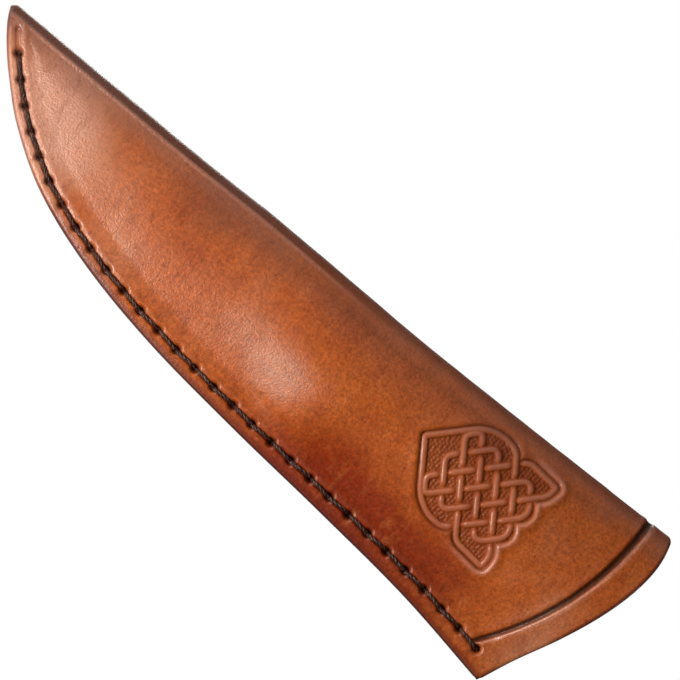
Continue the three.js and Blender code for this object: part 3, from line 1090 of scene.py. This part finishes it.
def leather_material(name):
    """Vegetable-tanned leather, dyed saddle tan by hand and rubbed with a dark antique finish."""
    n = Nodes(name)
    recess, wear_and_highlight, edge = n.layer("recess"), n.layer("wear_and_highlight"), n.layer("edge")
    inner, tone, spine_side = n.layer("inner"), n.layer("tone"), n.layer("spine")
    rough_grain = n.ramp(n.layer("pressed"), 0, 1, 1, 0.3)
    patches = n.noise(0.016, 4, 0.6)
    mottle = n.noise(0.0045, 5, 0.65, stretch=(0.7, 1, 1.3))
    speckle = n.noise(0.0007, 3, 0.7)
    pores = n.cells(0.00045)

    # The dye: patches of tan, pale where it was rubbed thin and red where it went on dark, with the painted
    # highlights of the tone patches at the point and before the handle
    dye = n.plus(n.times(n.math("SUBTRACT", patches, 0.5), 1.4), tone)
    color = n.mix(n.ramp(dye, 0.1, -0.7), TAN, PALE_TAN)
    # Paler, pinker at the point: partly the finish, partly a painted highlight where the key light falls
    color = n.mix(n.ramp(tone, -0.35, -0.9), color, PALE_POINT_AND_HIGHLIGHT)
    color = n.mix(n.ramp(dye, 0.0, 1.0, 0, 0.95), color, RED_DYE)
    color = n.mix(n.ramp(mottle, 0.48, 0.75, 0, 0.5), color, DARK_MOTTLE)
    color = n.mix(n.ramp(mottle, 0.5, 0.25, 0, 0.35), color, LIGHT_MOTTLE)
    # Paler colour: the finish rubbed thin, and painted highlights on ridges, rims, hole lips and strand tops
    color = n.mix(n.times(wear_and_highlight, 0.7), color, RUBBED_AND_HIGHLIGHT)
    color = n.mix(n.ramp(n.cells(0.004), 0.1, 0.03, 0, 0.4), color, SPOT)
    nicks = n.noise(0.0016, 2, 0.6, stretch=(0.55, 1, 1.3))
    color = n.mix(n.ramp(nicks, 0.64, 0.74, 0, 0.35), color, NICK)
    grain_tint = n.times(n.math("SUBTRACT", 0.5, speckle), n.ramp(tone, -0.9, 0.1, 0.5, 1.7))
    color = n.shaded(color, n.plus(n.times(grain_tint, rough_grain), 1))

    # Burnished edges, the spine's band, a darker colour beside the spine that is partly dye and partly
    # painted shade and grey reflection, and the dark finish left in the tooling
    aged = n.ramp(tone, -0.5, -0.08)
    reddened = n.times(n.ramp(edge, 2.0, 0.7, 0, 0.75), aged)
    color = n.mix(reddened, color, RED_EDGE)
    waxed = n.times(n.ramp(edge, 0.65, 0.15, 0, 0.9), n.ramp(aged, 0, 1, 0.55, 1))
    color = n.mix(waxed, color, WAXED_EDGE)
    # Darker, greyer brown towards the spine: partly the dye, partly painted shade and a painted grey
    # reflection where the leather turns towards the fold
    shade = n.ramp(n.plus(spine_side, n.times(patches, 8)), 12.5, 5, 0, 0.68)
    color = n.mix(n.times(shade, n.ramp(tone, -0.9, -0.3, 0.75, 1)), color, SPINE_SHADE)
    color = n.mix(n.times(n.layer("band"), 0.75), color, BURNISHED_BAND)
    rubbed = n.times(recess, n.ramp(mottle, 0.2, 0.7, 1.0, 0.85))
    color = n.mix(rubbed, color, ANTIQUE_DARK)
    color = n.mix(inner, color, FLESH_SIDE)

    roughness = n.ramp(mottle, 0.25, 0.75, 0.34, 0.44)
    roughness = n.plus(roughness, n.times(inner, 0.35))
    height = n.plus(n.times(pores, 0.8), n.noise(0.00042, 3, 0.6, stretch=(0.6, 1, 1.2)))
    height = n.plus(height, n.times(speckle, 0.9))
    height = n.times(height, n.ramp(tone, -0.4, -0.9, 1, 2.4))
    normal = n.bumps(height, 0.000042, rough_grain)
    polish = n.plus(n.ramp(dye, 0.45, -0.75, 0.0, 0.5), n.ramp(wear_and_highlight, 0, 0.35, 0, 0.85))
    polish = n.times(n.math("MINIMUM", polish, 1.0), n.ramp(inner, 1, 0))
    n.link(polish, n.shader.inputs["Coat Weight"])
    n.link(normal, n.shader.inputs["Coat Normal"])
    return n.finish(color, roughness, normal, Specular_IOR_Level=0.13, Coat_Roughness=0.32)


def edge_material():
    """Leather cut across and burnished with wax: dark, with fibres running along it."""
    n = Nodes("burnished_edge")
    fibres = n.noise(0.0016, 4, 0.6, stretch=(1, 2.5, 0.35))
    color = n.mix(n.ramp(fibres, 0.35, 0.7), rgb(50, 27, 22), rgb(84, 47, 34))
    normal = n.bumps(fibres, 0.00008)
    return n.finish(color, n.ramp(fibres, 0.3, 0.7, 0.34, 0.5), normal, Coat_Weight=0.1)


def thread_material():
    """Dark waxed thread, with the wax rubbed off its high fibres."""
    n = Nodes("dark_waxed_thread")
    fibres = n.noise(0.00035, 3, 0.6)
    wear = n.noise(0.0011, 3, 0.6)
    color = n.mix(n.ramp(fibres, 0.4, 0.75), rgb(36, 17, 11), rgb(92, 50, 36))
    color = n.mix(n.ramp(wear, 0.5, 0.72, 0, 0.65), color, rgb(126, 88, 76))
    normal = n.bumps(fibres, 0.00008)
    return n.finish(color, n.ramp(fibres, 0.3, 0.7, 0.28, 0.5), normal, Specular_IOR_Level=0.32)


# ---- stage

ROLL = math.radians(39.5)  # the sheath's spine in the picture, from level
AIM = (10.9, 93.5)  # (u, s) at the middle of the picture
FRAME_WIDTH = 0.136
CAMERA_AWAY = 1.0
PICTURE_RIGHT = Vector((-math.sin(ROLL), 0, math.cos(ROLL)))
PICTURE_UP = Vector((-math.cos(ROLL), 0, -math.sin(ROLL)))
KEY_PLACE = (140, -42, 210)  # the key light, and where it points, as (u, s, d)
KEY_TARGET = (20, 60, 5)
FLOOR_HEIGHT = -0.62
SEEN_WHITE = 1.0
LIGHT_ALL_ROUND = 0.08


def make_camera():
    """Square on to the front, long lens, with the sheath lying across the frame."""
    data = bpy.data.cameras.new("camera")
    data.sensor_width = 36
    data.lens = data.sensor_width * CAMERA_AWAY / FRAME_WIDTH
    camera = bpy.data.objects.new("camera", data)
    bpy.context.scene.collection.objects.link(camera)
    back = Vector((0, -1, 0))
    turn = Matrix((PICTURE_RIGHT, PICTURE_UP, back)).transposed().to_4x4()
    target = Vector(to_row(AIM[0], AIM[1], 2 * RADIUS)[0])
    camera.matrix_world = Matrix.Translation(target + back * CAMERA_AWAY) @ turn
    data.clip_start = 0.05
    data.clip_end = 20
    bpy.context.scene.camera = camera


def area_light(name, place, target, size, power, color=(1, 1, 1)):
    data = bpy.data.lights.new(name, "AREA")
    data.shape = "DISK"
    data.size = size
    data.energy = power
    data.color = color
    light = bpy.data.objects.new(name, data)
    bpy.context.scene.collection.objects.link(light)
    direction = Vector(target) - Vector(place)
    light.rotation_euler = direction.to_track_quat("-Z", "Y").to_euler()
    light.location = place
    light.visible_camera = False


def picture_place(left, up, front):
    """A place in the row frame from distances in metres seen in the picture, about the middle."""
    middle = Vector(to_row(*AIM, RADIUS)[0])
    return middle - PICTURE_RIGHT * left + PICTURE_UP * up - Vector((0, 1, 0)) * front


def make_lights():
    middle = picture_place(0, 0, 0)
    area_light("key", Vector(to_row(*KEY_PLACE)[0]), to_row(*KEY_TARGET)[0], 0.09, 0.64, (1.0, 0.95, 0.88))
    area_light("fill", picture_place(-0.5, 0.5, 0.7), middle, 0.8, 0.5)
    area_light("back", picture_place(0, 0.5, -0.8), middle, 0.5, 3.2)
    area_light("above", middle + Vector((0, 0.16, 0.55)), middle, 0.3, 0.9)


def make_world():
    """White behind everything, and a softer light from all round."""
    world = bpy.data.worlds.new("world")
    bpy.context.scene.world = world
    world.use_nodes = True
    tree = world.node_tree
    tree.nodes.clear()
    mixed = tree.nodes.new("ShaderNodeMixShader")
    for slot, strength in ((1, LIGHT_ALL_ROUND), (2, SEEN_WHITE)):
        background = tree.nodes.new("ShaderNodeBackground")
        background.inputs["Color"].default_value = (1, 1, 1, 1)
        background.inputs["Strength"].default_value = strength
        tree.links.new(background.outputs[0], mixed.inputs[slot])
    path = tree.nodes.new("ShaderNodeLightPath")
    output = tree.nodes.new("ShaderNodeOutputWorld")
    tree.links.new(path.outputs["Is Camera Ray"], mixed.inputs[0])
    tree.links.new(mixed.outputs[0], output.inputs[0])


def make_floor():
    """A pale floor, well below the hanging sheath, that fades into the white behind it."""
    bpy.ops.mesh.primitive_circle_add(vertices=96, radius=6, fill_type="NGON", location=(0, 0, FLOOR_HEIGHT))
    floor = bpy.context.object
    floor.name = "floor"
    n = Nodes("floor")
    n.shader.inputs["Base Color"].default_value = (0.9, 0.9, 0.9, 1)
    n.shader.inputs["Roughness"].default_value = 0.9
    glow = n.node("ShaderNodeEmission", {"Color": (1, 1, 1, 1), "Strength": 1.0})
    away = n.node("ShaderNodeVectorMath", {0: n.place()}, operation="LENGTH").outputs["Value"]
    inputs = {0: n.ramp(away, 0.2, 1.6, 0.7, 1), 1: n.shader.outputs[0], 2: glow.outputs[0]}
    mixed = n.node("ShaderNodeMixShader", inputs)
    n.link(mixed.outputs[0], n.tree.nodes["Material Output"].inputs["Surface"])
    floor.data.materials.append(n.material)


make_camera()
make_lights()
make_world()
make_floor()
bpy.context.scene.view_settings.view_transform = "Standard"

thread = thread_material()
lower = make_loop_thread("loop_stitching_lower", lower_holes)
upper = make_loop_thread("loop_stitching_upper", upper_holes)
placed(make_body(), "sheath_body", leather_material("tooled_leather"))
placed(make_welt(), "welt", edge_material())
placed(make_seam_thread(), "seam_thread", thread)
placed(make_belt_loop(), "belt_loop", leather_material("plain_leather"))
placed(lower, "loop_thread_lower", thread)
placed(upper, "loop_thread_upper", thread)
